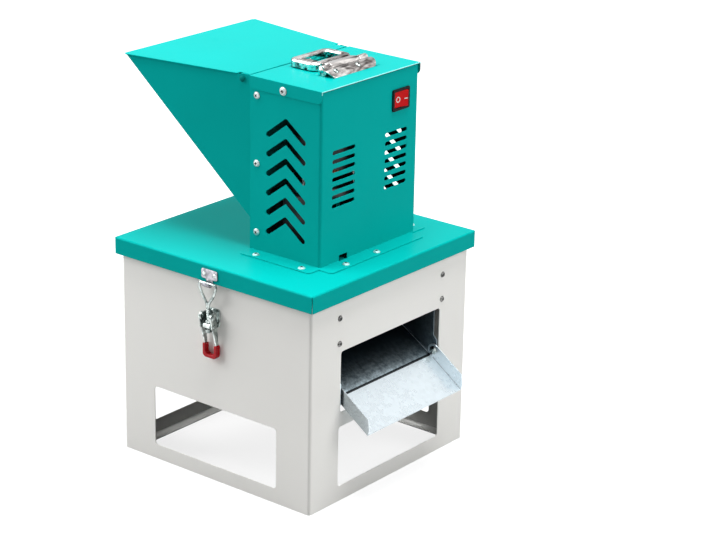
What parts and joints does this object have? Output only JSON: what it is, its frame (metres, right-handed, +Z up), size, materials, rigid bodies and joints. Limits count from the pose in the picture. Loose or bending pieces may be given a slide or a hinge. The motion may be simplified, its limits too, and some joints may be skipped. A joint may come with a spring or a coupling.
{
  "type": "electric grain mill",
  "caption": "Square sheet-metal grain mill with a lift-off motor head, side hopper, removable screen tray, toggle latches and a swinging discharge chute",
  "frame": {"origin": "on the floor, under the middle of the mill's overall box", "axes": "+Z up, -Y to the front with the switch and chute, +X to the right seen from the front"},
  "size_m": [0.3196, 0.3592, 0.4839],
  "materials": {
    "teal_paint": "smooth gloss stove enamel",
    "cream_paint": "smooth satin enamel",
    "galvanized": "hot-dip galvanized sheet with spangle",
    "zinc": "bright zinc plating",
    "stainless": "plain stainless steel",
    "chrome": "bright chrome",
    "red_vinyl": "dipped vinyl",
    "red_gloss": "glossy moulded plastic",
    "black_plastic": "moulded plastic",
    "foam": "closed-cell foam rubber",
    "brass": "plain",
    "copper": "enamelled copper wire and drawn copper",
    "laminations": "varnished laminations",
    "cast_aluminium": "die cast",
    "phenolic": "moulded phenolic",
    "carbon": "pressed carbon",
    "fan_plastic": "moulded plastic"
  },
  "bodies": {
    "base": {"base_shell": "cream_paint", "base_deck": "cream_paint", "discharge_pan": "galvanized", "pan_screws": "zinc", "chute_rivets": "zinc", "latch_bracket_left": "zinc", "latch_bracket_right": "zinc", "latch_screws": "zinc", "latch_pivots": "zinc"},
    "chute": {"chute": "galvanized"},
    "screen": {"screen_tray": "stainless"},
    "lever_left": {"latch_lever_left": "zinc", "latch_grip_left": "red_vinyl"},
    "lever_right": {"latch_lever_right": "zinc", "latch_grip_right": "red_vinyl"},
    "hook_left": {"latch_trunnion_left": "zinc", "latch_hook_left": "zinc", "latch_nuts_left": "zinc"},
    "hook_right": {"latch_trunnion_right": "zinc", "latch_hook_right": "zinc", "latch_nuts_right": "zinc"},
    "hopper_lid": {"hopper_lid": "teal_paint"},
    "rocker": {"switch_rocker": "red_gloss"},
    "handle": {"handle_bail": "chrome"},
    "rotor": {"rotor_shaft": "stainless", "armature_core": "laminations", "armature_winding": "copper", "commutator": "copper", "cooling_fan": "fan_plastic", "blade_hub": "zinc", "blade": "stainless", "blade_nut": "zinc"},
    "head": {"latch_keeper_left": "zinc", "latch_keeper_right": "zinc", "keeper_rivets": "zinc", "head_plate": "teal_paint", "chamber_seal": "foam", "tower_shell": "teal_paint", "tower_back": "teal_paint", "feed_throat": "galvanized", "tower_cap": "teal_paint", "head_screws": "zinc", "hopper_body": "teal_paint", "lid_pins": "zinc", "switch_housing": "black_plastic", "switch_terminals": "brass", "handle_plate": "chrome", "handle_pin": "chrome", "handle_screws": "zinc", "bearing_housing": "cast_aluminium", "bearings": "stainless", "motor_bracket": "galvanized", "lower_endbell": "cast_aluminium", "stator_core": "laminations", "field_windings": "copper", "upper_endbell": "cast_aluminium", "brush_holders": "phenolic", "carbon_brushes": "carbon", "motor_bolts": "zinc"}
  },
  "joints": [
    {"name": "head_lift", "type": "slide", "parent": "base", "child": "head", "axis": [0, 0, 1], "range_m": [0, 0.3]},
    {"name": "screen_lift", "type": "slide", "parent": "base", "child": "screen", "axis": [0, 0, 1], "range_m": [0, 0.12]},
    {"name": "chute_tilt", "type": "hinge", "parent": "base", "child": "chute", "pos_m": [0, -0.13589, 0.1305], "axis": [-1, 0, 0], "range_deg": [0, 110]},
    {"name": "lid_hinge", "type": "hinge", "parent": "head", "child": "hopper_lid", "pos_m": [0.01, 0.01911, 0.4665], "axis": [1, 0, 0], "range_deg": [0, 95]},
    {"name": "rocker_tilt", "type": "hinge", "parent": "head", "child": "rocker", "pos_m": [0.0633, -0.09269, 0.4358], "axis": [0, 0, 1], "range_deg": [0, 20]},
    {"name": "handle_fold", "type": "hinge", "parent": "head", "child": "handle", "pos_m": [0.0125, -0.05269, 0.4789], "axis": [1, 0, 0], "range_deg": [0, 90]},
    {"name": "rotor_spin", "type": "hinge", "parent": "head", "child": "rotor", "pos_m": [0, -0.04039, 0.335], "axis": [0, 0, 1], "continuous": true},
    {"name": "lever_left", "type": "hinge", "parent": "base", "child": "lever_left", "pos_m": [-0.1548, 0.00361, 0.207], "axis": [0, 1, 0], "range_deg": [0, 75]},
    {"name": "hook_left", "type": "hinge", "parent": "lever_left", "child": "hook_left", "pos_m": [-0.153, 0.00361, 0.196], "axis": [0, 1, 0], "range_deg": [-61.12, 0]},
    {"name": "lever_right", "type": "hinge", "parent": "base", "child": "lever_right", "pos_m": [0.1548, 0.00361, 0.207], "axis": [0, -1, 0], "range_deg": [0, 75]},
    {"name": "hook_right", "type": "hinge", "parent": "lever_right", "child": "hook_right", "pos_m": [0.153, 0.00361, 0.196], "axis": [0, -1, 0], "range_deg": [-61.12, 0]}
  ],
  "couplings": [
    {"joint": "screen_lift", "follows": "head_lift", "ratio": 0.4},
    {"joint": "hook_left", "follows": "lever_left", "ratio": -0.815},
    {"joint": "hook_right", "follows": "lever_right", "ratio": -0.815}
  ]
}
